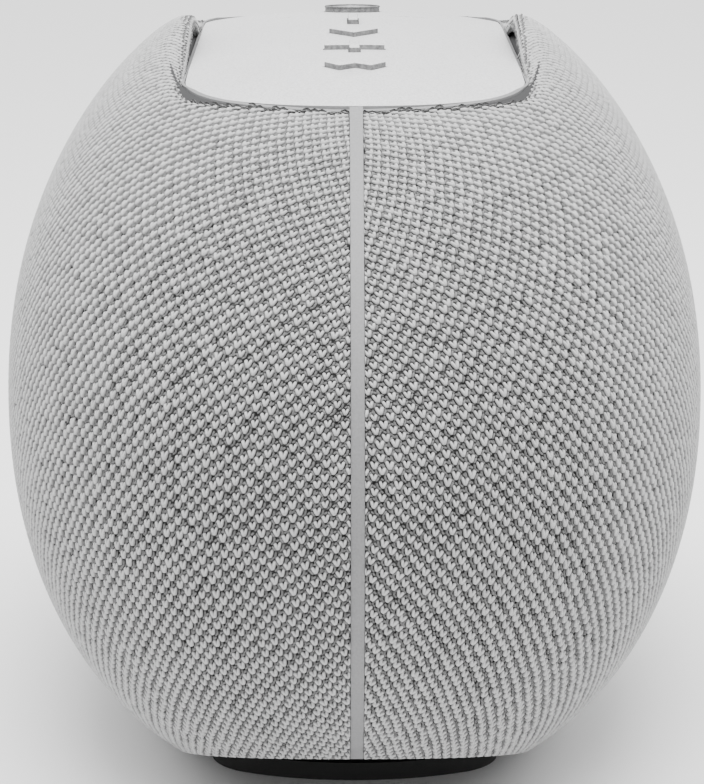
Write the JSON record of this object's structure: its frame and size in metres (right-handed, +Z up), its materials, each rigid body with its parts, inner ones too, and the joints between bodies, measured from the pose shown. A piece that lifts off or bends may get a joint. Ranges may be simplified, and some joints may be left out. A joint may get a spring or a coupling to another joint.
{
  "type": "smart speaker",
  "caption": "Wide pill-shaped table-top smart speaker, knitted fabric body, crowned control panel with raised keys, oval rubber foot",
  "frame": {"origin": "centre of the footprint, on the ground under the foot", "axes": "+X the long way, +Y towards the back, +Z up; the listener stands at -Y"},
  "size_m": [0.3691, 0.2, 0.2044],
  "materials": {
    "fabric": "knitted cloth, light grey tufts over a dark backing",
    "housing": "matte black moulded plastic",
    "trim": "fine matte grey plastic",
    "panel": "fine speckled matte light grey plastic",
    "switch": "moulded switch body",
    "board": "green circuit board",
    "metal": "plain metal",
    "steel": "black painted steel",
    "magnet": "plated magnet and yoke",
    "cone": "dark moulded cone",
    "cloth": "impregnated cloth",
    "rubber": "soft dark rubber",
    "dark": "matte dark plastic"
  },
  "bodies": {
    "cabinet": {"front_fabric": "fabric", "rear_fabric": "fabric", "front_housing": "housing", "rear_housing": "housing", "seam_band_left": "trim", "seam_band_right": "trim", "top_well": "trim", "panel_ledge": "housing", "top_panel": "panel", "key_switches": "switch", "key_board": "board", "microphones": "metal", "board_posts": "housing", "front_baffle": "housing", "rear_baffle": "housing", "radiator_frame": "housing", "radiator_surround": "rubber", "connector_panel": "dark", "power_inlet": "dark", "inlet_pins": "metal", "service_port": "metal", "mute_switch": "switch", "rear_board": "board", "power_posts": "housing", "power_board": "board", "transformer": "dark", "capacitors": "dark", "main_board_posts": "housing", "main_board": "board", "main_chips": "dark", "heat_sink": "metal", "base_plate": "dark", "rubber_foot": "rubber", "base_screws": "metal", "woofer_screws": "metal", "woofer_frame_left": "steel", "woofer_magnet_left": "magnet", "woofer_surround_left": "rubber", "woofer_spider_left": "cloth", "tweeter_body_left": "dark", "woofer_frame_right": "steel", "woofer_magnet_right": "magnet", "woofer_surround_right": "rubber", "woofer_spider_right": "cloth", "tweeter_body_right": "dark"},
    "assistant_key": {"key_assistant": "panel"},
    "volume_down_key": {"key_volume_down": "panel"},
    "play_key": {"key_play": "panel"},
    "volume_up_key": {"key_volume_up": "panel"},
    "pairing_key": {"key_pairing": "panel"},
    "mute_button": {"mute_key": "dark"},
    "left_cone": {"woofer_cone_left": "cone", "dust_cap_left": "cone"},
    "right_cone": {"woofer_cone_right": "cone", "dust_cap_right": "cone"},
    "left_dome": {"tweeter_dome_left": "cloth"},
    "right_dome": {"tweeter_dome_right": "cloth"},
    "passive_cone": {"radiator_plate": "cone"}
  },
  "joints": [
    {"name": "assistant_press", "type": "slide", "parent": "cabinet", "child": "assistant_key", "axis": [0, 0, -1], "range_m": [0, 0.0006], "stiffness_N_per_m": 2500},
    {"name": "volume_down_press", "type": "slide", "parent": "cabinet", "child": "volume_down_key", "axis": [0, 0, -1], "range_m": [0, 0.0006], "stiffness_N_per_m": 2500},
    {"name": "play_press", "type": "slide", "parent": "cabinet", "child": "play_key", "axis": [0, 0, -1], "range_m": [0, 0.0006], "stiffness_N_per_m": 2500},
    {"name": "volume_up_press", "type": "slide", "parent": "cabinet", "child": "volume_up_key", "axis": [0, 0, -1], "range_m": [0, 0.0006], "stiffness_N_per_m": 2500},
    {"name": "pairing_press", "type": "slide", "parent": "cabinet", "child": "pairing_key", "axis": [0, 0, -1], "range_m": [0, 0.0006], "stiffness_N_per_m": 2500},
    {"name": "mute_press", "type": "slide", "parent": "cabinet", "child": "mute_button", "axis": [0, -1, 0], "range_m": [0, 0.0006], "stiffness_N_per_m": 2500},
    {"name": "left_cone_stroke", "type": "slide", "parent": "cabinet", "child": "left_cone", "axis": [0, -1, 0], "range_m": [-0.004, 0.004], "stiffness_N_per_m": 1800},
    {"name": "right_cone_stroke", "type": "slide", "parent": "cabinet", "child": "right_cone", "axis": [0, -1, 0], "range_m": [-0.004, 0.004], "stiffness_N_per_m": 1800},
    {"name": "left_dome_stroke", "type": "slide", "parent": "cabinet", "child": "left_dome", "axis": [0, -1, 0], "range_m": [-0.0004, 0.0004], "stiffness_N_per_m": 3000},
    {"name": "right_dome_stroke", "type": "slide", "parent": "cabinet", "child": "right_dome", "axis": [0, -1, 0], "range_m": [-0.0004, 0.0004], "stiffness_N_per_m": 3000},
    {"name": "radiator_stroke", "type": "slide", "parent": "cabinet", "child": "passive_cone", "axis": [0, 1, 0], "range_m": [-0.005, 0.005], "stiffness_N_per_m": 1200}
  ]
}
